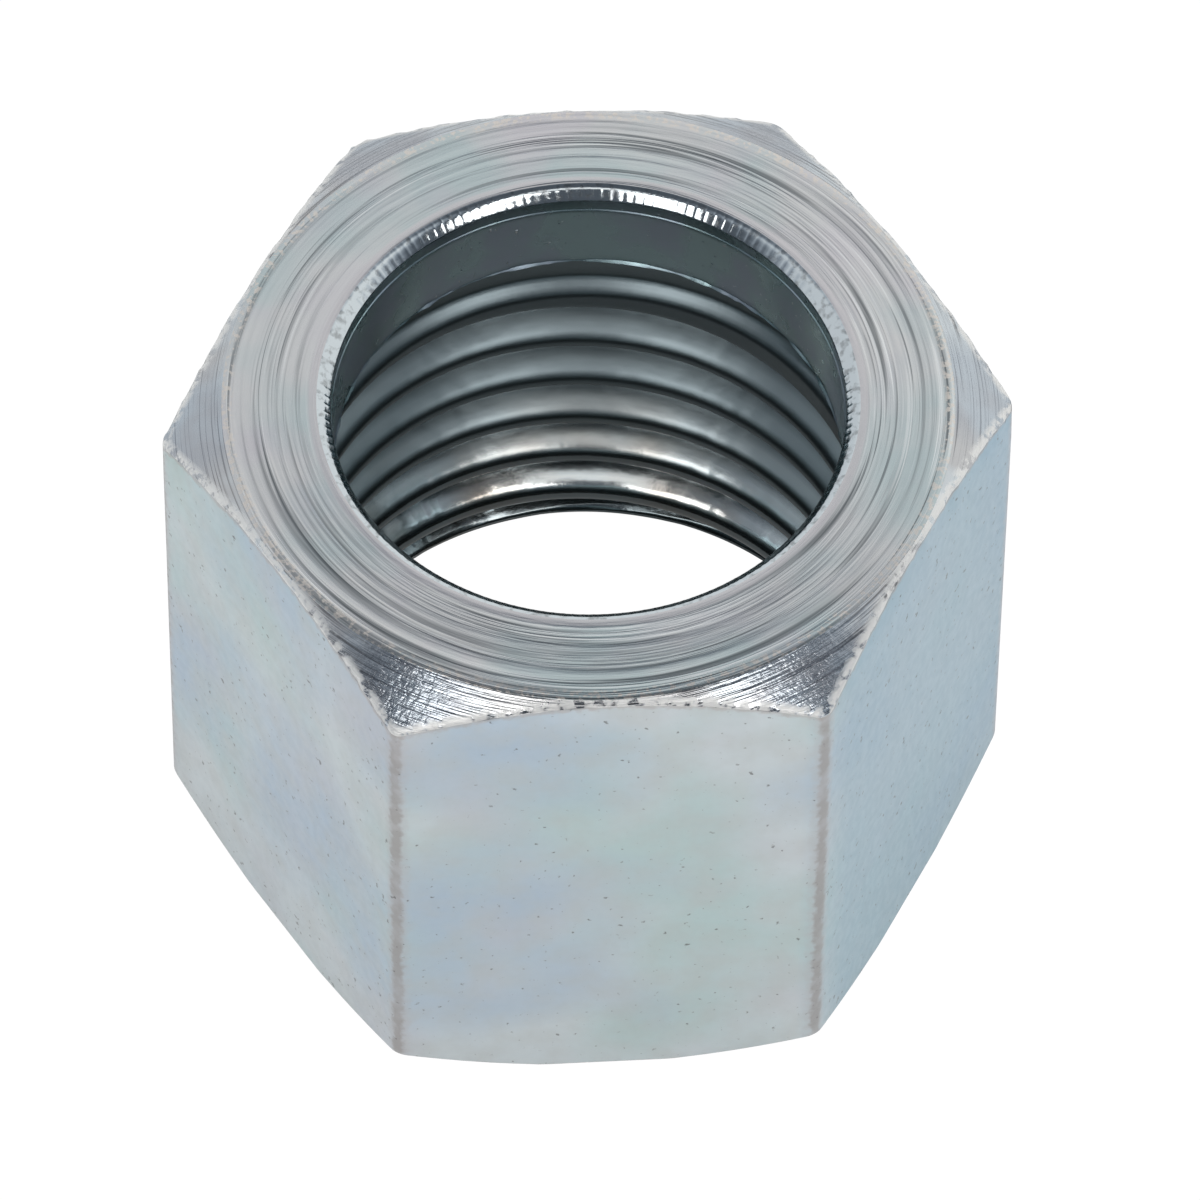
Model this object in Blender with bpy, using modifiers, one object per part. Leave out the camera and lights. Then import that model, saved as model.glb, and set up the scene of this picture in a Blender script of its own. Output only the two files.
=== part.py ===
"""Union-style hexagon nut, M12 x 1.25: a plain collar at the top of the bore, a thread below it.

Metres, +Z up. The origin is the centre of the bottom face. A corner of the hexagon is on +X,
so one spanner flat faces -Y.
"""

import math

import bmesh
import bpy
from mathutils import Matrix

MM = 0.001

# Driving sizes.
HEIGHT = 12.0 * MM
THREAD_MAJOR = 12.0 * MM  # nominal diameter of the thread
THREAD_PITCH = 1.25 * MM
FLAT_WALL = 1.0 * MM  # wall left between the thread's root and a spanner flat
COLLAR_STEP = 0.5 * MM  # how far the plain collar stands in from the thread's crests
COLLAR_LENGTH = 2.05 * MM  # from the top face down, mouth chamfer included

# Edges and ends.
CORNER_RADIUS = 0.3 * MM  # along the six upright corners
CORNER_SEGMENTS = 3
MOUTH_CHAMFER = 0.22 * MM  # at 45 degrees
TOP_SETBACK = 0.13 * MM  # the top face's circle lies this far inside the flats
TOP_CHAMFER_ANGLE = math.radians(33.0)
BOTTOM_OUTSET = 0.06 * MM  # the bottom face's circle lies this far outside the flats
BOTTOM_CHAMFER_ANGLE = math.radians(31.0)
LEAD_IN_OVER_THREAD = 0.33 * MM  # the lead-in's radius at the bottom face, over the thread's root
LEAD_IN_ANGLE = math.radians(45.0)

# Thread details, as on any 60 degree metric thread.
FLANK_ANGLE = math.radians(30.0)
ROOT_FLAT = THREAD_PITCH / 8
CREST_FLAT = THREAD_PITCH / 4
START_ANGLE = math.radians(155.0)  # where the groove's centre line crosses the bottom plane
RUN_OUT_TURNS = 0.75  # the groove grows shallow over these last turns
RUN_OUT_GAP = 1.45 * MM  # from the end of the groove up to the collar's underside

# Relief turned between the thread and the collar.
RELIEF_STEP = 0.28 * MM  # how far its wall stands out from the thread's crests
RELIEF_LENGTH = 1.75 * MM  # from the collar's underside down to its lower edge
RELIEF_ANGLE = math.radians(45.0)
RELIEF_CORNER = 0.3 * MM  # at 45 degrees, between its wall and the collar's underside

# Facets and cutting margins.
ROUND_STEPS = 72
CUT_MARGIN = 0.5 * MM  # how far a cutter runs past the surface that it cuts
GROOVE_OVERLAP = 0.12 * MM  # how far the thread cutter reaches into the open bore
STEEL = (0.56, 0.60, 0.62, 1.0)

# Sizes that follow.
THREAD_DEPTH = (THREAD_PITCH - ROOT_FLAT - CREST_FLAT) / 2 / math.tan(FLANK_ANGLE)
MAJOR_RADIUS = THREAD_MAJOR / 2
MINOR_RADIUS = MAJOR_RADIUS - THREAD_DEPTH
ACROSS_FLATS = THREAD_MAJOR + 2 * FLAT_WALL
CORNER_REACH = ACROSS_FLATS / 2 / math.cos(math.pi / 6)
COLLAR_RADIUS = MINOR_RADIUS - COLLAR_STEP
COLLAR_UNDERSIDE = HEIGHT - COLLAR_LENGTH
RELIEF_RADIUS = MINOR_RADIUS + RELIEF_STEP
RELIEF_EDGE = COLLAR_UNDERSIDE - RELIEF_LENGTH
TOP_RADIUS = ACROSS_FLATS / 2 - TOP_SETBACK
BOTTOM_RADIUS = ACROSS_FLATS / 2 + BOTTOM_OUTSET
LEAD_IN_RADIUS = MAJOR_RADIUS + LEAD_IN_OVER_THREAD
LEAD_IN_DEPTH = (LEAD_IN_RADIUS - MINOR_RADIUS) / math.tan(LEAD_IN_ANGLE)


def clear_scene():
    for old in list(bpy.data.objects):
        bpy.data.objects.remove(old, do_unlink=True)


def new_collection(name):
    collection = bpy.data.collections.new(name)
    bpy.context.scene.collection.children.link(collection)
    return collection


def add_object(name, mesh, collection):
    piece = bpy.data.objects.new(name, mesh)
    collection.objects.link(piece)
    return piece


def as_cutter(piece):
    piece.hide_render = True
    piece.display_type = "WIRE"
    return piece


def zinc_plated_steel():
    material = bpy.data.materials.new("zinc_plated_steel")
    material.use_nodes = True
    shader = material.node_tree.nodes["Principled BSDF"]
    shader.inputs["Base Color"].default_value = STEEL
    shader.inputs["Metallic"].default_value = 1.0
    shader.inputs["Roughness"].default_value = 0.35
    return material


def turned(name, profile, collection):
    """A closed turned shape from (radius, height) points that run down its outer side."""
    mesh = bpy.data.meshes.new(name)
    points = [(radius, 0.0, height) for radius, height in profile]
    edges = [(i, i + 1) for i in range(len(points) - 1)]
    mesh.from_pydata(points, edges, [])
    piece = add_object(name, mesh, collection)
    screw = piece.modifiers.new("turn", "SCREW")
    screw.steps = ROUND_STEPS
    screw.render_steps = ROUND_STEPS
    screw.use_merge_vertices = True
    screw.merge_threshold = 0.00001
    return as_cutter(piece)


def hexagon_bar(collection):
    """A length of hexagon bar with rounded upright corners, longer than the nut at both ends."""
    mesh = bpy.data.meshes.new("nut_body")
    bar = bmesh.new()
    turn = Matrix.Rotation(math.radians(30.0), 4, "Z")
    lift = Matrix.Translation((0.0, 0.0, HEIGHT / 2))
    bmesh.ops.create_cone(
        bar,
        cap_ends=True,
        segments=6,
        radius1=CORNER_REACH,
        radius2=CORNER_REACH,
        depth=HEIGHT + 2 * CUT_MARGIN,
        matrix=lift @ turn,
    )
    upright = [edge for edge in bar.edges if abs(edge.verts[0].co.z - edge.verts[1].co.z) > HEIGHT / 2]
    bmesh.ops.bevel(
        bar,
        geom=upright,
        offset=CORNER_RADIUS * math.tan(math.pi / 6),
        offset_type="OFFSET",
        segments=CORNER_SEGMENTS,
        profile=0.5,
        affect="EDGES",
    )
    bar.to_mesh(mesh)
    bar.free()
    return add_object("nut_body", mesh, collection)


def end_faces(collection):
    """The turned envelope that faces both ends and chamfers the hexagon's corners."""
    outside = CORNER_REACH + CUT_MARGIN
    top_drop = (outside - TOP_RADIUS) * math.tan(TOP_CHAMFER_ANGLE)
    bottom_rise = (outside - BOTTOM_RADIUS) * math.tan(BOTTOM_CHAMFER_ANGLE)
    profile = [
        (0.0, HEIGHT),
        (TOP_RADIUS, HEIGHT),
        (outside, HEIGHT - top_drop),
        (outside, bottom_rise),
        (BOTTOM_RADIUS, 0.0),
        (0.0, 0.0),
    ]
    return turned("end_faces", profile, collection)


def bore(collection):
    """Mouth chamfer, plain collar, relief, the thread's bore and the lead-in at the bottom."""
    past_lead_in = LEAD_IN_RADIUS + CUT_MARGIN * math.tan(LEAD_IN_ANGLE)
    profile = [
        (0.0, HEIGHT + CUT_MARGIN),
        (COLLAR_RADIUS + MOUTH_CHAMFER + CUT_MARGIN, HEIGHT + CUT_MARGIN),
        (COLLAR_RADIUS, HEIGHT - MOUTH_CHAMFER),
        (COLLAR_RADIUS, COLLAR_UNDERSIDE),
        (RELIEF_RADIUS - RELIEF_CORNER, COLLAR_UNDERSIDE),
        (RELIEF_RADIUS, COLLAR_UNDERSIDE - RELIEF_CORNER),
        (RELIEF_RADIUS, RELIEF_EDGE + RELIEF_STEP * math.tan(RELIEF_ANGLE)),
        (MINOR_RADIUS, RELIEF_EDGE),
        (MINOR_RADIUS, LEAD_IN_DEPTH),
        (past_lead_in, -CUT_MARGIN),
        (0.0, -CUT_MARGIN),
    ]
    return turned("bore", profile, collection)


def groove_section(turns_left):
    """(radius, height from the groove's centre) of the cutter's four corners, root first."""
    shallow = max(0.0, 1.0 - turns_left / RUN_OUT_TURNS)
    inward = shallow * (THREAD_DEPTH + GROOVE_OVERLAP / 2)
    half_root = ROOT_FLAT / 2
    half_mouth = half_root + (THREAD_DEPTH + GROOVE_OVERLAP) * math.tan(FLANK_ANGLE)
    root = MAJOR_RADIUS - inward
    mouth = MINOR_RADIUS - GROOVE_OVERLAP - inward
    return [(root, -half_root), (root, half_root), (mouth, half_mouth), (mouth, -half_mouth)]


def thread_groove(collection):
    """A right-hand helical groove, swept from below the nut up to its run-out."""
    bottom = -THREAD_PITCH
    top = COLLAR_UNDERSIDE - RUN_OUT_GAP
    turns = (top - bottom) / THREAD_PITCH
    count = math.ceil(turns * ROUND_STEPS)
    start = START_ANGLE + 2 * math.pi * bottom / THREAD_PITCH
    cutter = bmesh.new()
    rings = []
    for i in range(count + 1):
        turned_by = turns * i / count
        angle = start + 2 * math.pi * turned_by
        centre = bottom + THREAD_PITCH * turned_by
        rings.append(
            [
                cutter.verts.new((radius * math.cos(angle), radius * math.sin(angle), centre + rise))
                for radius, rise in groove_section(turns - turned_by)
            ]
        )
    for lower, upper in zip(rings, rings[1:]):
        for j in range(4):
            k = (j + 1) % 4
            cutter.faces.new((lower[j], lower[k], upper[k], upper[j]))
    cutter.faces.new(rings[0])
    cutter.faces.new(rings[-1])
    bmesh.ops.recalc_face_normals(cutter, faces=cutter.faces)
    mesh = bpy.data.meshes.new("thread_groove")
    cutter.to_mesh(mesh)
    cutter.free()
    return as_cutter(add_object("thread_groove", mesh, collection))


def cut(piece, tool, operation):
    boolean = piece.modifiers.new(tool.name, "BOOLEAN")
    boolean.operation = operation
    boolean.solver = "EXACT"
    boolean.object = tool


def build():
    clear_scene()
    nut = new_collection("hex_nut")
    cutters = new_collection("cutters")
    body = hexagon_bar(nut)
    cut(body, end_faces(cutters), "INTERSECT")
    cut(body, bore(cutters), "DIFFERENCE")
    cut(body, thread_groove(cutters), "DIFFERENCE")
    body.data.materials.append(zinc_plated_steel())
    body.data.shade_smooth()
    body.data.set_sharp_from_angle(angle=math.radians(20.0))


build()
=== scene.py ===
import math

import bpy
import numpy as np
from mathutils import Matrix, Vector


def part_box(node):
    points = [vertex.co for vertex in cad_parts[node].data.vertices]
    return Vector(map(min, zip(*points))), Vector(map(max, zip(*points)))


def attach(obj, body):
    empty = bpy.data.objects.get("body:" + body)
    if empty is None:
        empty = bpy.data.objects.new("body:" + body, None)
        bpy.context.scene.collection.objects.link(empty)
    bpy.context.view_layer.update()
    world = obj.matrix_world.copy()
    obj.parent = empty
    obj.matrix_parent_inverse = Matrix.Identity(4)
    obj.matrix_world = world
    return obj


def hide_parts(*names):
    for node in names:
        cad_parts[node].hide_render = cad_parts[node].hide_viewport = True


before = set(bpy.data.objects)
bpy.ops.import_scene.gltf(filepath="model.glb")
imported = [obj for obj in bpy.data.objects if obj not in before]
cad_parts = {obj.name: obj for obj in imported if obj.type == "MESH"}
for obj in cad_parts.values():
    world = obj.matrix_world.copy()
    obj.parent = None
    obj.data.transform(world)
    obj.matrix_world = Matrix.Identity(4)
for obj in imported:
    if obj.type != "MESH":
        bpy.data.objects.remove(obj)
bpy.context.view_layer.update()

# Union-style hexagon nut: a plain collar at the top of the bore and a thread below it.
# Lengths in the settings are millimetres; meshes are in metres, +Z up, a corner of the hexagon on +X.

mm = 0.001
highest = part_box("nut_body")[1] / mm
height = highest.z
halfFlats = highest.y
cornerReach = highest.x

nutShape = {
    "flatWall": 1.0,           # wall between the thread's root and a flat
    "pitch": 1.25,
    "collarStep": 0.5,         # how far the collar stands in from the thread's crests
    "collarLength": 2.05,      # from the top face down
    "mouthChamfer": 0.22,      # at 45 degrees
    "mouthStep": 0.025,        # fine step that the chamfering tool left in the bore
    "mouthStepDrop": 0.26,     # how far it lies below the chamfer
    "topSetback": 0.13,        # top face's circle inside the flats
    "topChamferAngle": 33.0,
    "bottomOutset": 0.06,      # bottom face's circle outside the flats
    "bottomChamferAngle": 31.0,
    "leadInOverThread": 0.33,  # at 45 degrees
    "leadInRound": 0.03,       # width over which its edge with the thread is rounded
    "grooveStart": 155.0,      # where the groove's centre line crosses the bottom plane
    "runOutTurns": 0.75,
    "runOutGap": 1.45,         # from the end of the groove up to the collar's underside
    "runOutOver": 0.08,        # how far past a crest the run-out lifts the groove
    "reliefStep": 0.28,        # how far the relief's wall stands out from the thread's crests
    "reliefLength": 1.75,      # from the collar's underside down, ending in a 45 degree cone
    "reliefCorner": 0.3,       # at 45 degrees, between its wall and the collar's underside
    "reliefRound": 0.08,
    "crestRound": 0.24,        # radial width over which a crest's edge is rounded
    "rootRound": 0.2,
    "topDish": 0.05,           # how far the facing cut falls away from the mouth to the chamfer
}

nutGrid = {
    "columnsPerCorner": 48,
    "columnsInArc": 3,         # on each side of a corner's middle
    "mouthFineness": 4,        # columns of the mouth for each column elsewhere
    "threadRows": 150,
    "threadTop": 9.2,
    "mouthBottom": 11.4,       # where the finer columns start
    "rimEnd": 0.16,            # outside the mouth chamfer, where the finer columns end
    "faceStart": 0.19,
    "faceRows": 46,
    "chamferRows": 18,
    "flatRows": 12,
}

nutWear = {
    "seed": 41,
    "latheDepth": 0.006,       # ring grooves of the facing cut
    "chamferDepth": 0.006,
    "edgeNick": 0.05,          # broken edge between the chamfer and a flat
    "flatWave": 0.004,         # slow waviness left by the drawing die
    "threadWave": 0.004,
    "threadCells": ((0.16, 190), (0.5, 40)),    # height in mm and number around of two waves
    "chatterTicks": 168,
    "chatterDepth": 0.0085,
    "lip": 0.06,               # burr on the collar's lower edge
    "lipCells": (60, 220),     # number around of its two sizes of break
}


def linear(hexColour):
    # sRGB hex to linear RGBA
    parts = np.array([int(hexColour[i:i + 2], 16) for i in (1, 3, 5)]) / 255
    parts = np.where(parts <= 0.04045, parts / 12.92, ((parts + 0.055) / 1.055) ** 2.4)
    return (*parts.tolist(), 1.0)


def smoothNoise(seed, across, around, repeats):
    # Value noise: random numbers on a lattice, eased between with 3t^2 - 2t^3. "across" is in lattice
    # steps, "around" is an angle that wraps after "repeats" steps. Gives -1 to 1.
    rng = np.random.default_rng(seed)
    low = np.floor(across).astype(int)
    shift = int(low.min())
    lattice = rng.uniform(-1, 1, (int(low.max()) - shift + 2, repeats))
    place = around / (2 * math.pi) * repeats
    step = np.floor(place).astype(int)
    u = across - low
    v = place - step
    u = u * u * (3 - 2 * u)
    v = v * v * (3 - 2 * v)
    i = low - shift
    j = step % repeats
    k = (step + 1) % repeats
    near = lattice[i, j] * (1 - v) + lattice[i, k] * v
    far = lattice[i + 1, j] * (1 - v) + lattice[i + 1, k] * v
    return near * (1 - u) + far * u


def softMax(a, b, blend):
    # The larger of two, rounded where they cross over a width of "blend"
    share = np.clip(0.5 + 0.5 * (a - b) / blend, 0, 1)
    return b + (a - b) * share + blend * share * (1 - share)


# Sizes that follow from the settings, as on any 60 degree metric thread.
pitch = nutShape["pitch"]
majorRadius = halfFlats - nutShape["flatWall"]
threadDepth = (pitch - pitch / 8 - pitch / 4) / 2 / math.tan(math.radians(30))
minorRadius = majorRadius - threadDepth
collarRadius = minorRadius - nutShape["collarStep"]
collarUnder = height - nutShape["collarLength"]
reliefEdge = collarUnder - nutShape["reliefLength"]
mouthRadius = collarRadius + nutShape["mouthChamfer"]
topRadius = halfFlats - nutShape["topSetback"]
leadInRadius = majorRadius + nutShape["leadInOverThread"]
sharpReach = halfFlats / math.cos(math.pi / 6)
cornerRadius = (sharpReach - cornerReach) / (1 / math.cos(math.pi / 6) - 1)
arcCentre = (halfFlats - cornerRadius) / math.cos(math.pi / 6)
arcHalf = math.atan2(cornerRadius / 2, arcCentre + cornerRadius * math.cos(math.pi / 6))

# The finishes, in the order of the nut's materials.
faced, drawn, bored, tapped, chattered, chamfered = range(6)


def columnAngles():
    # Even steps across each rounded corner, then steps that widen towards the middle of a flat
    half = nutGrid["columnsPerCorner"] // 2
    inArc = nutGrid["columnsInArc"]
    t = np.linspace(0, 1, half - inArc + 1)[1:]
    wide = arcHalf + (math.pi / 6 - arcHalf) * (0.6 * t + 0.4 * t * t)
    side = np.concatenate([np.linspace(0, arcHalf, inArc + 1), wide])
    corner = np.concatenate([-side[:0:-1], side[:-1]])
    return (corner[None, :] + np.arange(6)[:, None] * math.pi / 3).ravel()


def finer(angles, times):
    count = len(angles)
    closed = np.append(angles, angles[0] + 2 * math.pi)
    return np.interp(np.arange(count * times) / times, np.arange(count + 1), closed)


def cornerOffset(angles):
    # Angle from the nearest corner of the hexagon
    return (angles + math.pi / 6) % (math.pi / 3) - math.pi / 6


def hexRadius(angles):
    # Distance to a straight flat, or to the arc that rounds a corner
    off = np.abs(cornerOffset(angles))
    flat = halfFlats / np.cos(math.pi / 6 - off)
    inside = np.maximum(cornerRadius ** 2 - (arcCentre * np.sin(off)) ** 2, 0)
    arc = arcCentre * np.cos(off) + np.sqrt(inside)
    return np.where(off < arcHalf, np.minimum(flat, arc), flat)


def threadRadius(angles, z):
    # w is the distance along the axis from the nearest turn of the groove. The groove's radius falls
    # from the root at 60 degrees to the crest, and its depth fades over the run-out.
    phase = angles - math.radians(nutShape["grooveStart"])
    turns = z / pitch - phase / (2 * math.pi)
    nearest = np.round(turns)
    w = np.abs(turns - nearest) * pitch
    centre = (nearest + phase / (2 * math.pi)) * pitch
    left = (collarUnder - nutShape["runOutGap"] - centre) / pitch
    shallow = np.clip(1 - left / nutShape["runOutTurns"], 0, 1)
    slope = 1 / math.tan(math.radians(30))
    flank = majorRadius - shallow * (threadDepth + nutShape["runOutOver"]) - (w - pitch / 16) * slope
    groove = -softMax(-flank, np.full_like(flank, -majorRadius), nutShape["rootRound"])
    groove = np.where(left > 0, groove, minorRadius - 1)
    return softMax(groove, np.full_like(groove, minorRadius), nutShape["crestRound"])


def threadRows(angles):
    # Rows of constant height up the bore, with the 45 degree lead-in cutting the first turns away and
    # the 45 degree lower edge of the relief cutting the last
    z = np.linspace(0, nutGrid["threadTop"], nutGrid["threadRows"])[1:, None]
    around = angles[None, :] + 0 * z
    z = z + 0 * around
    (fineCell, fineCount), (broadCell, broadCount) = nutWear["threadCells"]
    wave = smoothNoise(nutWear["seed"] + 1, z / fineCell, around, fineCount) * 0.5
    wave = wave + smoothNoise(nutWear["seed"] + 2, z / broadCell, around, broadCount) * 0.5
    radius = threadRadius(around, z + wave * nutWear["threadWave"] * 2)
    radius = radius + wave * nutWear["threadWave"]
    radius = softMax(leadInRadius - z, radius, nutShape["leadInRound"])
    flare = np.minimum(minorRadius + z - reliefEdge, minorRadius + nutShape["reliefStep"])
    radius = softMax(flare, radius, nutShape["reliefRound"])
    return radius, z


def pathRows(corners, fillets, spans, filletRows):
    # Straight runs between corner points, with each corner that has a fillet replaced by a quadratic
    # curve that leaves and joins the runs at the fillet's length, or at 45% of a shorter run.
    rows = []
    last = len(corners) - 1
    for i, here in enumerate(corners):
        if 0 < i < last and fillets[i]:
            reach = []
            for other in (corners[i - 1], corners[i + 1]):
                way = other - here
                length = np.maximum(np.hypot(way[0], way[1]), 1e-6)
                reach.append(here + way * np.minimum(fillets[i] / length, 0.45))
            start, end = reach
            for t in np.linspace(0, 1, filletRows + 1):
                rows.append(start * (1 - t) ** 2 + 2 * here * t * (1 - t) + end * t ** 2)
        else:
            rows.append(here)
            start = end = here
        if i < last and spans[i] > 1:
            rows.append(("span", spans[i]))
    filled = []
    for k, row in enumerate(rows):
        if isinstance(row, tuple):
            before, after = rows[k - 1], rows[k + 1]
            for t in np.arange(1, row[1]) / row[1]:
                filled.append(before * (1 - t) + after * t)
        else:
            filled.append(row)
    grid = np.array(filled)
    return grid[:, 0], grid[:, 1]


def ringPoint(angles, radius, z):
    return np.stack([radius + 0 * angles, z + 0 * angles])


def collarRows(angles):
    # From the relief across the collar's underside, round a broken lip of burr and up the wall
    broad, small = nutWear["lipCells"]
    lip = smoothNoise(nutWear["seed"] + 3, 0 * angles, angles, broad)
    lip = lip + 0.6 * smoothNoise(nutWear["seed"] + 12, 0 * angles, angles, small)
    lip = np.clip(0.55 + 0.5 * lip, 0.05, 1) * nutWear["lip"]
    wall = minorRadius + nutShape["reliefStep"]
    corners = [
        ringPoint(angles, wall, nutGrid["threadTop"] + 0.06),
        ringPoint(angles, wall, collarUnder - nutShape["reliefCorner"]),
        ringPoint(angles, wall - nutShape["reliefCorner"], collarUnder),
        ringPoint(angles, collarRadius, collarUnder),
        np.stack([collarRadius - lip, collarUnder + 0.01 + 0 * angles]),
        np.stack([collarRadius + 0 * angles, collarUnder + 0.02 + 0.8 * lip]),
        ringPoint(angles, collarRadius, nutGrid["mouthBottom"]),
    ]
    return pathRows(corners, [0, 0.04, 0, 0, 0.01, 0.01, 0], [1, 1, 2, 1, 1, 9], 3)


def mouthRows(angles):
    # Tool step, short wall and 45 degree chamfer at the mouth. A chattering tool cut the chamfer in
    # shallow flutes with flat bottoms: each rises with the fourth power of the distance from its middle
    # to a sharp cusp.
    step = nutShape["mouthStep"]
    bottom = height - nutShape["mouthChamfer"]
    corners = [
        ringPoint(angles, collarRadius, nutGrid["mouthBottom"] + 0.02),
        ringPoint(angles, collarRadius, bottom - nutShape["mouthStepDrop"]),
        ringPoint(angles, collarRadius + step, bottom - nutShape["mouthStepDrop"] + step),
        ringPoint(angles, collarRadius + step, bottom + step),
        ringPoint(angles, mouthRadius, height),
        ringPoint(angles, mouthRadius + nutGrid["rimEnd"], height),
    ]
    radius, z = pathRows(corners, [0, 0.008, 0.008, 0.02, 0.09, 0], [1, 1, 1, 3, 1], 2)
    around = angles[None, :] + 0 * z
    drift = smoothNoise(nutWear["seed"] + 4, 0 * z, around, 24)
    strength = 0.7 + 0.3 * smoothNoise(nutWear["seed"] + 5, z / 0.08, around, 90)
    place = around * nutWear["chatterTicks"] / (2 * math.pi) + drift * 0.35
    flute = place - np.floor(place)
    middle = np.clip((z - bottom) / nutShape["mouthChamfer"], 0, 1)
    fade = np.sin(middle * math.pi) ** 0.5
    sink = (1 - np.abs(2 * flute - 1) ** 4) * strength * fade * nutWear["chatterDepth"]
    onRim = radius[:, 0] > mouthRadius + 0.03
    kind = np.where(z[:, 0] < bottom - 0.01, bored, np.where(onRim, faced, chattered))
    return radius + sink * 0.7, z - sink * 0.7, kind


def chamferEdge(outer):
    # Height of the top chamfer's edge where the side of the hexagon lies "outer" from the axis
    slope = math.tan(math.radians(nutShape["topChamferAngle"]))
    return height - nutShape["topDish"] - (outer - topRadius) * slope


def outsideRows(angles):
    # Top face, top chamfer, flats, bottom chamfer and bottom face
    outer = hexRadius(angles)
    bottomSlope = math.tan(math.radians(nutShape["bottomChamferAngle"]))
    bottomRadius = np.minimum(halfFlats + nutShape["bottomOutset"], outer - 0.05)
    drop = nutShape["topDish"]
    bottomEdge = np.maximum((outer - halfFlats - nutShape["bottomOutset"]) * bottomSlope, 0.03)
    corners = [
        ringPoint(angles, mouthRadius + nutGrid["faceStart"], height - drop * 0.05),
        ringPoint(angles, topRadius, height - drop),
        np.stack([outer, chamferEdge(outer)]),
        np.stack([outer, bottomEdge]),
        np.stack([bottomRadius, 0 * outer]),
        ringPoint(angles, leadInRadius + 0.02, 0),
    ]
    spans = [nutGrid["faceRows"], nutGrid["chamferRows"], nutGrid["flatRows"], 6, 6]
    return pathRows(corners, [0, 0.06, 0.05, 0.06, 0.03, 0], spans, 5)


def facingGrooves(radius, around):
    # Depth of the rings that the facing tool leaves: steps in the radius that hold most of the way
    # round and fade in and out along it
    rings = smoothNoise(nutWear["seed"] + 6, radius / 0.07, around, 9)
    broad = smoothNoise(nutWear["seed"] + 7, radius / 0.21, around, 5)
    return np.clip(0.5 + 0.35 * rings + 0.3 * broad, 0, 1)


def wornOutside(radius, z, angles):
    # Lathe rings sunk in the face and the chamfer, slow waves in the flats, and a nicked edge between them
    around = angles[None, :] + 0 * z
    outer = hexRadius(around)
    onFace = z > height - nutShape["topDish"] - 0.02
    edge = np.clip((radius - mouthRadius - nutGrid["faceStart"]) / 0.1, 0, 1)
    z = z - np.where(onFace, facingGrooves(radius, around) * nutWear["latheDepth"] * edge, 0)
    onChamfer = (~onFace) & (z > height * 0.75) & (radius < outer - 0.01)
    cut = smoothNoise(nutWear["seed"] + 8, radius / 0.06, around, 14) * 0.5 + 0.5
    z = z - np.where(onChamfer, cut * nutWear["chamferDepth"], 0)
    onFlat = (radius > outer - 0.004) & (z > 0.05)
    wave = smoothNoise(nutWear["seed"] + 9, z / 2.6, around, 26) * 0.5 + 0.5
    inward = np.where(onFlat, wave * nutWear["flatWave"], 0)
    nearEdge = np.exp(-((z - chamferEdge(outer)) / 0.05) ** 2) * np.exp(-((radius - outer) / 0.07) ** 2)
    nick = smoothNoise(nutWear["seed"] + 10, z * 0, around, 300)
    nick = nick + smoothNoise(nutWear["seed"] + 11, z * 0, around, 90) * 0.6
    broken = np.clip(nick * 0.7 + 0.3, 0, 1) * nearEdge * nutWear["edgeNick"]
    return radius - (inward + broken), z - broken * 0.4


def ringMesh(name, bands, materials):
    # Each band is a grid of rings; neighbouring rings are joined by quads, or by fans of triangles
    # where one ring has several columns for each of the other's. The last ring joins the first.
    points, starts, counts, kinds = [], [], [], []
    total = 0
    for angles, radius, z, kind in bands:
        x = radius * np.cos(angles) * mm
        y = radius * np.sin(angles) * mm
        points.append(np.stack([x, y, z * mm], axis=-1).reshape(-1, 3))
        rows, columns = radius.shape
        starts += [total + i * columns for i in range(rows)]
        counts += [columns] * rows
        kinds += list(np.broadcast_to(kind, rows))
        total += rows * columns
    faces, slots = [], []
    for i in range(len(starts)):
        k = (i + 1) % len(starts)
        a, b, m, n = starts[i], starts[k], counts[i], counts[k]
        few, many = (a, b) if m <= n else (b, a)
        less, times = min(m, n), max(m, n) // min(m, n)
        j = np.arange(less)
        if times == 1:
            quad = [a + j, b + j, b + (j + 1) % m, a + (j + 1) % m]
            faces.append(np.stack(quad, axis=-1))
        else:
            for t in range(times):
                low = few + (j if t < times // 2 else (j + 1) % less)
                one = many + j * times + t
                two = many + (j * times + t + 1) % (less * times)
                faces.append(np.stack([low, one, two] if m < n else [low, two, one], axis=-1))
            low = few + j
            high = few + (j + 1) % less
            tip = many + j * times + times // 2
            faces.append(np.stack([low, tip, high] if m < n else [low, high, tip], axis=-1))
        made = less if times == 1 else less * (times + 1)
        slots.append(np.full(made, kinds[i]))
    mesh = bpy.data.meshes.new(name)
    sizes = np.concatenate([np.full(len(f), f.shape[1]) for f in faces])
    corners = np.concatenate([f.ravel() for f in faces])
    points = np.concatenate(points)
    mesh.vertices.add(len(points))
    mesh.vertices.foreach_set("co", points.astype(np.float32).ravel())
    mesh.loops.add(len(corners))
    mesh.loops.foreach_set("vertex_index", corners.astype(np.int32))
    mesh.polygons.add(len(sizes))
    mesh.polygons.foreach_set("loop_start", (np.cumsum(sizes) - sizes).astype(np.int32))
    mesh.polygons.foreach_set("loop_total", sizes.astype(np.int32))
    mesh.polygons.foreach_set("material_index", np.concatenate(slots).astype(np.int32))
    mesh.update(calc_edges=True)
    mesh.validate()
    for material in materials:
        mesh.materials.append(material)
    mesh.shade_smooth()
    return mesh, points


def add(tree, kind, settings, out=0):
    # One node. A setting is one of the node's own, or a socket that takes a value, a hex colour or the
    # output of another node. Gives back the output called "out".
    node = tree.nodes.new(kind)
    for key, value in settings.items():
        if isinstance(key, str) and hasattr(node, key):
            setattr(node, key, value)
        elif isinstance(value, bpy.types.NodeSocket):
            tree.links.new(value, node.inputs[key])
        else:
            node.inputs[key].default_value = linear(value) if isinstance(value, str) else value
    return node.outputs[out] if len(node.outputs) else None


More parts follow.
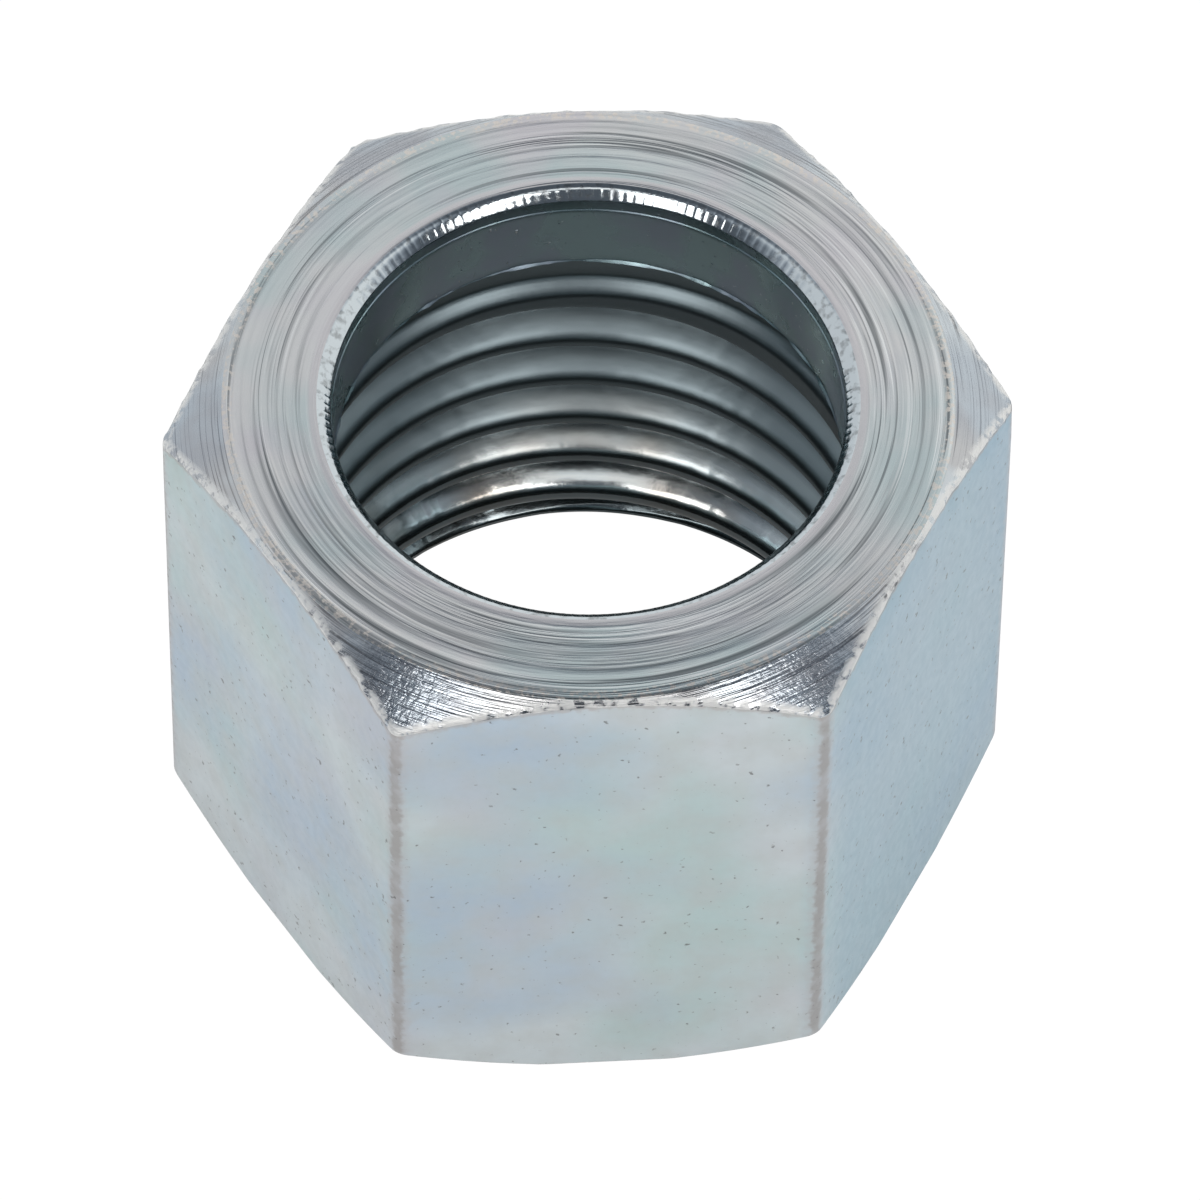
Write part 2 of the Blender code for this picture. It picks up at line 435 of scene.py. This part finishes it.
def newMaterial(name):
    material = bpy.data.materials.new(name)
    material.use_nodes = True
    material.node_tree.nodes.clear()
    return material, material.node_tree


def millimetres(tree):
    # Place on the object, in millimetres, so that a noise scale of 1 is one cell a millimetre
    where = add(tree, "ShaderNodeTexCoord", {}, "Object")
    return add(tree, "ShaderNodeVectorMath", {"operation": "SCALE", 0: where, "Scale": 1 / mm})


def ringPlace(tree, place, cellsAround, cellSize):
    # Noise space that follows the cut of a lathe: a circle of noise cells around the axis, and cells of
    # "cellSize" millimetres outwards and up, so that the noise runs out in long arcs with no seam.
    level = add(tree, "ShaderNodeVectorMath", {"operation": "MULTIPLY", 0: place, 1: (1, 1, 0)})
    radius = add(tree, "ShaderNodeVectorMath", {"operation": "LENGTH", 0: level}, "Value")
    unit = add(tree, "ShaderNodeVectorMath", {"operation": "NORMALIZE", 0: level})
    reach = cellsAround / (2 * math.pi)
    circle = add(tree, "ShaderNodeVectorMath", {"operation": "SCALE", 0: unit, "Scale": reach})
    rise = add(tree, "ShaderNodeSeparateXYZ", {0: place}, "Z")
    along = add(tree, "ShaderNodeMath", {"operation": "SUBTRACT", 0: radius, 1: rise})
    cells = add(tree, "ShaderNodeMath", {"operation": "MULTIPLY", 0: along, 1: 1 / cellSize})
    lift = add(tree, "ShaderNodeCombineXYZ", {"Z": cells})
    return add(tree, "ShaderNodeVectorMath", {"operation": "ADD", 0: circle, 1: lift})


def noiseAt(tree, place, scale, detail, low, high):
    # Noise stretched so that "low" becomes 0 and "high" becomes 1
    cloud = add(tree, "ShaderNodeTexNoise", {"Vector": place, "Scale": scale, "Detail": detail})
    return add(tree, "ShaderNodeMapRange", {0: cloud, "From Min": low, "From Max": high})


def latheMarks(tree, place, cellsAround, cellSize, detail=2.0, low=0.3, high=0.7):
    return noiseAt(tree, ringPlace(tree, place, cellsAround, cellSize), 1.0, detail, low, high)


def finish(tree, f, layers, dullness, bumps, anisotropy=0.0):
    # Metal shader: (colour, share, cover) layers over the finish's tone, a roughness that goes from its
    # lowest to its highest with "dullness", and (height, depth in mm) bumps
    colour = f["tone"]
    for over, share, cover in layers:
        share = add(tree, "ShaderNodeMath", {"operation": "MULTIPLY", 0: share, 1: cover})
        colour = add(tree, "ShaderNodeMix", {"data_type": "RGBA", 0: share, 6: colour, 7: over}, 2)
    low, high = f["roughness"]
    rough = add(tree, "ShaderNodeMapRange", {0: dullness, "To Min": low, "To Max": high})
    metal = {"Metallic": 1.0, "Base Color": colour, "Roughness": rough, "Anisotropic": anisotropy}
    for heightMap, depth in bumps:
        bump = {"Strength": 1.0, "Distance": depth * mm, "Height": heightMap}
        if "Normal" in metal:
            bump["Normal"] = metal["Normal"]
        metal["Normal"] = add(tree, "ShaderNodeBump", bump)
    if anisotropy:
        metal["Tangent"] = add(tree, "ShaderNodeTangent", {"direction_type": "RADIAL", "axis": "Z"})
        metal["Anisotropic Rotation"] = 0.25
    add(tree, "ShaderNodeOutputMaterial", {"Surface": add(tree, "ShaderNodeBsdfPrincipled", metal)})


# In every finish, a noise is (cells a millimetre, detail, the values that become 0 and 1) and a lathe
# mark starts with (cells around, its feed in mm).
facedFinish = {
    "tone": "#CBCAC9",
    "teal": "#B9C3C3",
    "lilac": "#C6C0C5",
    # painted shade and painted highlight: dark and bright streak colours along the lathe rings
    "paintedShadeLine": "#5C6164",
    "paintedGlintLine": "#F2F2F0",
    "rim": "#C6C2C3",
    "speckle": "#D8CFC6",
    "roughness": (0.18, 0.32),
    "feed": (9, 0.05),
    "coarse": (6, 0.15, 3.0),
    "dash": (60, 0.07),
    "bands": (2, 0.3, 1.0, 0.38, 0.6),
    "patch": (0.35, 3.0, 0.42, 0.62),
    "blush": (0.5, 2.0, 0.5, 0.7),
    "grain": (11.0, 3.0, 0.5, 0.6),
    "depths": (0.008, 0.004, 0.0015),
}


def facedZincPlate():
    # Zinc plate over a face turned on a lathe: fine arcs of feed marks with painted dark and bright streaks
    # along them, which stand in for the rings' reflections, and the bluish passivate pooled in teal and lilac
    # patches
    material, tree = newMaterial("facedZincPlate")
    f = facedFinish
    place = millimetres(tree)
    feed = latheMarks(tree, place, *f["feed"])
    coarse = latheMarks(tree, place, *f["coarse"])
    dash = latheMarks(tree, place, *f["dash"])
    bands = latheMarks(tree, place, *f["bands"])
    grain = noiseAt(tree, place, *f["grain"])
    rim = add(tree, "ShaderNodeAttribute", {"attribute_name": "rimGap"}, "Fac")
    # Painted shade and painted highlight: dark streaks on the coarse and fine rings, bright streaks between
    # the fine rings
    dark = add(tree, "ShaderNodeMapRange", {0: coarse, "From Min": 0.62, "From Max": 0.95, "To Max": 0.7})
    fine = add(tree, "ShaderNodeMapRange", {0: feed, "From Min": 0.66, "From Max": 0.95, "To Max": 0.8})
    glintShare = add(tree, "ShaderNodeMapRange", {0: feed, "From Min": 0.3, "From Max": 0.05, "To Max": 0.6})
    ring = add(tree, "ShaderNodeMapRange", {0: rim, "From Min": 0.26, "From Max": 0.2, "To Max": 0.8})
    outside = add(tree, "ShaderNodeMapRange", {0: rim, "From Min": 1.62, "From Max": 1.72, "To Max": 0.8})
    layers = [
        (f["teal"], noiseAt(tree, place, *f["patch"]), 1.0),
        (f["lilac"], noiseAt(tree, place, *f["blush"]), 0.6),
        (f["paintedShadeLine"], dark, bands),
        (f["paintedShadeLine"], fine, bands),
        (f["paintedGlintLine"], glintShare, bands),
        (f["rim"], ring, 1.0),
        (f["speckle"], grain, outside),
    ]
    grooves = add(tree, "ShaderNodeMath", {"operation": "MULTIPLY", 0: coarse, 1: bands})
    lines = add(tree, "ShaderNodeMath", {"operation": "MULTIPLY", 0: feed, 1: bands})
    finish(tree, f, layers, coarse, list(zip((grooves, lines, dash), f["depths"])), 0.4)
    return material


chamferedFinish = {
    "tone": "#CDD2D4",
    "brown": "#B9B2AE",
    "soil": "#5E5B5A",
    # painted highlight: pale glints on the burr along the chamfer's edge
    "burrGlint": "#EDEBE7",
    "tear": "#8C97A6",
    "roughness": (0.12, 0.5),
    "feed": (12, 0.06),
    "dash": (45, 0.06),
    "torn": (9.0, 3.0, 0.3, 0.7),
    "cloud": (0.8, 2.0, 0.4, 0.6),
    "glintSpots": (5.0, 3.0, 0.38, 0.5),
    "tornRoughness": 0.3,      # how much the tearing adds to the dullness
    "depths": (0.006, 0.004, 0.004),
}


def chamferedZincPlate():
    # Zinc plate over the turned chamfer: parallel feed marks, a coarse sparkle where the interrupted cut tore
    # the corners, and
    # painted highlights along its edge: pale, rough glints on the burr
    material, tree = newMaterial("chamferedZincPlate")
    f = chamferedFinish
    place = millimetres(tree)
    feed = latheMarks(tree, place, *f["feed"])
    dash = latheMarks(tree, place, *f["dash"])
    corner = add(tree, "ShaderNodeAttribute", {"attribute_name": "cornerGap"}, "Fac")
    edge = add(tree, "ShaderNodeAttribute", {"attribute_name": "edgeGap"}, "Fac")
    tip = add(tree, "ShaderNodeMapRange", {0: corner, "From Min": 1.7, "From Max": 0.9, "To Min": 0.15})
    lines = add(tree, "ShaderNodeMapRange", {0: feed, "From Min": 0.6, "From Max": 0.9, "To Max": 0.7})
    near = add(tree, "ShaderNodeMapRange", {0: edge, "From Min": -0.13, "From Max": -0.05})
    tears = noiseAt(tree, place, *f["torn"])
    torn = add(tree, "ShaderNodeMath", {"operation": "MULTIPLY", 0: tears, 1: tip})
    # Painted highlight: pale glints on the burr near the chamfer's lower edge
    glintSpots = noiseAt(tree, place, *f["glintSpots"])
    burrGlint = add(tree, "ShaderNodeMath", {"operation": "MULTIPLY", 0: near, 1: glintSpots})
    layers = [
        (f["brown"], noiseAt(tree, place, *f["cloud"]), 0.6),
        (f["soil"], lines, 1.0),
        (f["tear"], tip, 0.35),
        (f["burrGlint"], burrGlint, 1.0),
    ]
    dull = {"operation": "MULTIPLY_ADD", 0: torn, 1: f["tornRoughness"], 2: burrGlint}
    dull = add(tree, "ShaderNodeMath", dull)
    finish(tree, f, layers, dull, list(zip((feed, dash, torn), f["depths"])), 0.3)
    return material


drawnFinish = {
    "tone": "#CCD2D3",
    "teal": "#BBCCCA",
    "blue": "#B4C2CE",
    "pink": "#C6C3C6",
    "pit": "#6A6764",
    "mottle": "#BFC0BC",
    "shade": "#A0B8C4",        # painted shade: a darker, bluer tint on the flats at the +X side
    "outline": "#B3ABA6",
    "cornerLine": "#98918C",
    "cornerBand": "#BDB9B8",
    "roughness": (0.3, 0.4),
    "clouds": (0.22, 2.0, 0.42, 0.6),
    "blues": (0.16, 2.0, 0.45, 0.62),
    "bluesMoved": (31, 7, 3),  # so that its cells fall elsewhere than the clouds'
    "pinks": (0.3, 2.0, 0.52, 0.7),
    "pinksMoved": (3, 17, 9),
    "grain": (5.0, 4.0, 0.35, 0.65),
    "pits": (7.0, 3.0, 0.66, 0.72),
    "breaks": (1.6, 3.0, 0.25, 0.5),
    "mottles": (1.3, 3.0, 0.4, 0.65),
    "raggedness": 0.3,         # mm that the edge of a line wanders
    "depths": (0.0012, -0.004),
}


def drawnZincPlate():
    # Zinc plate over drawn hexagon bar: satin, with blurred teal and blue clouds of passivate, small pits, a
    # worn line where two flats meet, and painted shade that tints the flats at the +X side darker and bluer
    material, tree = newMaterial("drawnZincPlate")
    f = drawnFinish
    place = millimetres(tree)
    bluePlace = add(tree, "ShaderNodeMapping", {"Vector": place, "Location": f["bluesMoved"]})
    pinkPlace = add(tree, "ShaderNodeMapping", {"Vector": place, "Location": f["pinksMoved"]})
    grain = noiseAt(tree, place, *f["grain"])
    pit = noiseAt(tree, place, *f["pits"])
    ragged = add(tree, "ShaderNodeTexNoise", {"Vector": place, "Scale": 6.0, "Detail": 4.0})
    corner = add(tree, "ShaderNodeAttribute", {"attribute_name": "cornerGap"}, "Fac")
    edge = add(tree, "ShaderNodeAttribute", {"attribute_name": "edgeGap"}, "Fac")
    aside = add(tree, "ShaderNodeSeparateXYZ", {0: place}, "X")
    wander = {"operation": "MULTIPLY_ADD", 0: ragged, 1: f["raggedness"]}
    gap = add(tree, "ShaderNodeMath", {**wander, 2: corner})
    below = add(tree, "ShaderNodeMath", {**wander, 2: edge})
    band = add(tree, "ShaderNodeMapRange", {0: gap, "From Min": 0.46, "From Max": 0.22, "To Max": 0.7})
    line = add(tree, "ShaderNodeMapRange", {0: gap, "From Min": 0.32, "From Max": 0.22, "To Max": 0.55})
    outline = add(tree, "ShaderNodeMapRange", {0: below, "From Min": 0.3, "From Max": 0.2, "To Max": 0.6})
    # Painted shade: the flats at the +X side are tinted darker and bluer
    paintedRightShade = add(tree, "ShaderNodeMapRange", {0: aside, "From Min": 3.6, "From Max": 4.6, "To Max": 0.75})
    layers = [
        (f["teal"], noiseAt(tree, place, *f["clouds"]), 1.0),
        (f["blue"], noiseAt(tree, bluePlace, *f["blues"]), 1.0),
        (f["pink"], noiseAt(tree, pinkPlace, *f["pinks"]), 0.5),
        (f["mottle"], noiseAt(tree, place, *f["mottles"]), 0.35),
        (f["shade"], paintedRightShade, 1.0),
        (f["outline"], outline, 1.0),
        (f["cornerBand"], band, 1.0),
        (f["cornerLine"], line, noiseAt(tree, place, *f["breaks"])),
        (f["pit"], pit, 0.7),
    ]
    finish(tree, f, layers, grain, list(zip((grain, pit), f["depths"])))
    return material


boredFinish = {
    "tone": "#A0B6B8",
    "blue": "#A8B4BF",
    "speck": "#D6DADA",
    "roughness": (0.26, 0.34),
    "clouds": (0.9, 3.0, 0.4, 0.6),
    "specks": (8.0, 2.0, 0.7, 0.75),
    "depths": (0.002, 0.012),
}


def boredZincPlate():
    # Zinc plate in the bored collar: smooth and dark, with a few bright specks of plating
    material, tree = newMaterial("boredZincPlate")
    f = boredFinish
    place = millimetres(tree)
    cloud = noiseAt(tree, place, *f["clouds"])
    speck = noiseAt(tree, place, *f["specks"])
    layers = [(f["blue"], cloud, 1.0), (f["speck"], speck, 0.8)]
    finish(tree, f, layers, cloud, list(zip((cloud, speck), f["depths"])))
    return material


tappedFinish = {
    "tone": "#CED3D2",
    "warm": "#C6BAAD",
    "dark": "#859093",
    "paintedThreadShade": "#5F696C",
    "roughness": (0.13, 0.38),
    "browns": (0.4, 2.0, 0.45, 0.65),
    "grain": (4.0, 4.0, 0.35, 0.65),
    "grainDepth": 0.0015,
}


def tappedZincPlate():
    # Zinc plate over a tapped thread: bright at the open end, dull and dark towards the collar and a little
    # brown in places;
    # painted shade darkens the crests, the roots and the lead-in
    material, tree = newMaterial("tappedZincPlate")
    f = tappedFinish
    place = millimetres(tree)
    grain = noiseAt(tree, place, *f["grain"])
    rise = add(tree, "ShaderNodeSeparateXYZ", {0: place}, "Z")
    depth = add(tree, "ShaderNodeAttribute", {"attribute_name": "grooveShare"}, "Fac")
    inward = add(tree, "ShaderNodeMapRange", {0: rise, "From Min": 1.5, "From Max": 5.0})
    # Painted shade: the crests, the roots and the lead-in are darkened
    root = add(tree, "ShaderNodeMapRange", {0: depth, "From Min": 0.42, "From Max": 0.72, "To Max": 0.85})
    crestShade = add(tree, "ShaderNodeMapRange", {0: depth, "From Min": 0.2, "From Max": 0.08, "To Max": 0.75})
    entryShade = add(tree, "ShaderNodeMapRange", {0: rise, "From Min": 0.95, "From Max": 0.7, "To Max": 0.85})
    layers = [(f["warm"], noiseAt(tree, place, *f["browns"]), 1.0), (f["dark"], inward, 1.0)]
    layers += [(f["paintedThreadShade"], share, 1.0) for share in (root, crestShade, entryShade)]
    finish(tree, f, layers, inward, [(grain, f["grainDepth"])])
    return material


chatteredFinish = {
    "tone": "#CBD1D3",
    "soil": "#6D6C6B",
    "roughness": (0.10, 0.20),
    "soils": (6.0, 4.0, 0.5, 0.65),
    "soilDepth": -0.0008,
}


def chatteredZincPlate():
    # Zinc plate over the mouth's chamfer: bright, with fine specks of soil
    material, tree = newMaterial("chatteredZincPlate")
    f = chatteredFinish
    soil = noiseAt(tree, millimetres(tree), *f["soils"])
    finish(tree, f, [(f["soil"], soil, 0.5)], soil, [(soil, f["soilDepth"])])
    return material


def buildNut():
    angles = columnAngles()
    fine = finer(angles, nutGrid["mouthFineness"])
    outRadius, outZ = outsideRows(angles)
    reach = outRadius.max(axis=1)
    cut = (reach > topRadius + 0.02) & (outZ.max(axis=1) > height / 2)
    outKind = np.where(reach > cornerReach - 0.003, drawn, np.where(cut, chamfered, faced))
    outRadius, outZ = wornOutside(outRadius, outZ, angles)
    bands = [
        (angles, *threadRows(angles), tapped),
        (angles, *collarRows(angles), bored),
        (fine, *mouthRows(fine)),
        (angles, outRadius, outZ, outKind),
    ]
    makers = [facedZincPlate, drawnZincPlate, boredZincPlate]
    makers += [tappedZincPlate, chatteredZincPlate, chamferedZincPlate]
    mesh, points = ringMesh("plated_nut", bands, [maker() for maker in makers])
    # Each point's distance from the nearest upright corner, measured along the flat; outside the mouth
    # chamfer's edge; and below the top chamfer's edge. Then its depth in the groove, from 0 at a crest
    # to 1 at a root.
    around = np.arctan2(points[:, 1], points[:, 0])
    radius = np.hypot(points[:, 0], points[:, 1]) / mm
    off = np.abs(cornerOffset(around))
    places = {
        "cornerGap": halfFlats * (math.tan(math.pi / 6) - np.tan(math.pi / 6 - off)),
        "rimGap": radius - mouthRadius,
        "edgeGap": chamferEdge(hexRadius(around)) - points[:, 2] / mm,
        "grooveShare": (radius - minorRadius) / threadDepth,
    }
    for name, values in places.items():
        attribute = mesh.attributes.new(name, "FLOAT", "POINT")
        attribute.data.foreach_set("value", values.astype(np.float32))
    piece = bpy.data.objects.new("plated_nut", mesh)
    bpy.context.scene.collection.objects.link(piece)
    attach(piece, "root")
    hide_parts("nut_body")
    print("nut:", len(mesh.vertices), "points,", sum(len(p.vertices) - 2 for p in mesh.polygons), "triangles")


studio = {
    "floorColour": "#F4F4F4",
    "floorReach": 1500.0,
    "floorDrop": 0.01,         # under the nut, so that the two never touch
    "boxDistance": 300.0,
    "boxes": {                 # azimuth, elevation, lean, width, height, radiance
        "left_softbox": (-33.0, 43.0, 0.0, 120.0, 150.0, 3.3),
        "right_softbox": (35.0, 43.0, 28.0, 105.0, 155.0, 3.3),
        "front_strip": (0.0, 64.5, 0.0, 150.0, 58.0, 1.1),
    },
    "fill": (0.0, 20.0, 0.0, 260.0, 130.0, 2.6),    # a low box that lights the paper alone
    "innerGlow": 0.16,         # light that the paper gives back in reflections, over what falls on it
    "paperWhite": 1.03,        # the plain white that the camera sees in place of most of the paper
    "whiteShare": 0.97,
    "ceilingColour": "#DCEBFF",
    "wallColour": "#FAFDFF",
    "ceiling": 0.14,
    "backWall": 1.0,
}


def direction(azimuth, elevation):
    # Azimuth 0 is towards -Y, and turns towards +X
    a, e = math.radians(azimuth), math.radians(elevation)
    return Vector((math.sin(a) * math.cos(e), -math.cos(a) * math.cos(e), math.sin(e)))


def buildFloor():
    # Plain pale paper, which lights the inside of the bore a little
    reach = studio["floorReach"] * mm
    drop = studio["floorDrop"] * mm
    mesh = bpy.data.meshes.new("floor")
    signs = ((-1, -1), (1, -1), (1, 1), (-1, 1))
    mesh.from_pydata([(x * reach, y * reach, -drop) for x, y in signs], [], [(0, 1, 2, 3)])
    material, tree = newMaterial("floorPaper")
    paper = add(tree, "ShaderNodeBsdfDiffuse", {"Color": studio["floorColour"]})
    bounce = add(tree, "ShaderNodeEmission", {"Strength": studio["innerGlow"]})
    lit = add(tree, "ShaderNodeAddShader", {0: paper, 1: bounce})
    white = add(tree, "ShaderNodeEmission", {"Strength": studio["paperWhite"]})
    seen = add(tree, "ShaderNodeLightPath", {}, "Is Camera Ray")
    share = add(tree, "ShaderNodeMath", {"operation": "MULTIPLY", 0: seen, 1: studio["whiteShare"]})
    mix = add(tree, "ShaderNodeMixShader", {0: share, 1: lit, 2: white})
    add(tree, "ShaderNodeOutputMaterial", {"Surface": mix})
    mesh.materials.append(material)
    floor = bpy.data.objects.new("floor", mesh)
    bpy.context.scene.collection.objects.link(floor)
    print("floor:", studio["floorReach"], "mm each way")


def softBox(name, azimuth, elevation, lean, width, tall, radiance):
    # A rectangle light that faces the nut. Its power is its radiance times pi times its area.
    light = bpy.data.lights.new(name, "AREA")
    light.shape = "RECTANGLE"
    light.size = width * mm
    light.size_y = tall * mm
    light.energy = radiance * math.pi * width * tall * mm * mm
    box = bpy.data.objects.new(name, light)
    away = direction(azimuth, elevation)
    box.location = away * studio["boxDistance"] * mm
    box.rotation_mode = "QUATERNION"
    turn = Matrix.Rotation(math.radians(lean), 3, away)
    box.rotation_quaternion = (turn @ away.to_track_quat("Z", "Y").to_matrix()).to_quaternion()
    bpy.context.scene.collection.objects.link(box)
    print("light:", name)
    return box


def buildWorld():
    # A room with a dim ceiling and a bright wall behind the nut, a little brighter to the right
    world = bpy.data.worlds.new("studio")
    bpy.context.scene.world = world
    world.use_nodes = True
    tree = world.node_tree
    tree.nodes.clear()
    where = add(tree, "ShaderNodeTexCoord", {}, "Generated")
    split = add(tree, "ShaderNodeSeparateXYZ", {0: where}, "X").node.outputs
    soft = {"interpolation_type": "SMOOTHSTEP"}
    behind = {**soft, 0: split["Y"], "From Min": -0.45, "From Max": 0.1}
    low = {**soft, 0: split["Z"], "From Min": 0.96, "From Max": 0.78}
    side = {0: split["X"], "From Min": -0.5, "From Max": 0.4, "To Min": 0.82, "To Max": 1.08}
    behind, low, side = [add(tree, "ShaderNodeMapRange", span) for span in (behind, low, side)]
    wall = add(tree, "ShaderNodeMath", {"operation": "MULTIPLY", 0: behind, 1: low})
    wall = add(tree, "ShaderNodeMath", {"operation": "MULTIPLY", 0: wall, 1: side})
    level = {0: wall, "To Min": studio["ceiling"], "To Max": studio["backWall"]}
    level = add(tree, "ShaderNodeMapRange", level)
    hue = {"data_type": "RGBA", 0: wall, 6: studio["ceilingColour"], 7: studio["wallColour"]}
    hue = add(tree, "ShaderNodeMix", hue, 2)
    glow = add(tree, "ShaderNodeBackground", {"Color": hue, "Strength": level})
    add(tree, "ShaderNodeOutputWorld", {"Surface": glow})
    print("world: ceiling", studio["ceiling"], "wall", studio["backWall"])


viewpoint = {
    "azimuth": -4.0,
    "elevation": 54.2,
    "roll": 0.66,
    "distance": 243.5,
    "aim": (0.235, -0.353, 6.0),
    "lens": 381.3,
}


def buildCamera():
    data = bpy.data.cameras.new("camera")
    data.lens = viewpoint["lens"]
    data.sensor_width = 36.0
    data.clip_start = 0.01
    data.clip_end = 10.0
    data.dof.use_dof = False
    camera = bpy.data.objects.new("camera", data)
    back = direction(viewpoint["azimuth"], viewpoint["elevation"])
    right = Vector((-back.y, back.x, 0)).normalized()
    up = back.cross(right)
    level = Matrix((right, up, back)).transposed()
    turn = level @ Matrix.Rotation(math.radians(viewpoint["roll"]), 3, "Z")
    place = (Vector(viewpoint["aim"]) + back * viewpoint["distance"]) * mm
    camera.matrix_world = Matrix.Translation(place) @ turn.to_4x4()
    bpy.context.scene.collection.objects.link(camera)
    bpy.context.scene.camera = camera
    print("camera: azimuth", viewpoint["azimuth"], "elevation", viewpoint["elevation"])


buildNut()
buildFloor()
for boxName, boxPlace in studio["boxes"].items():
    softBox(boxName, *boxPlace)
softBox("paper_fill", *studio["fill"]).visible_glossy = False
buildWorld()
buildCamera()
bpy.context.scene.view_settings.view_transform = "Standard"
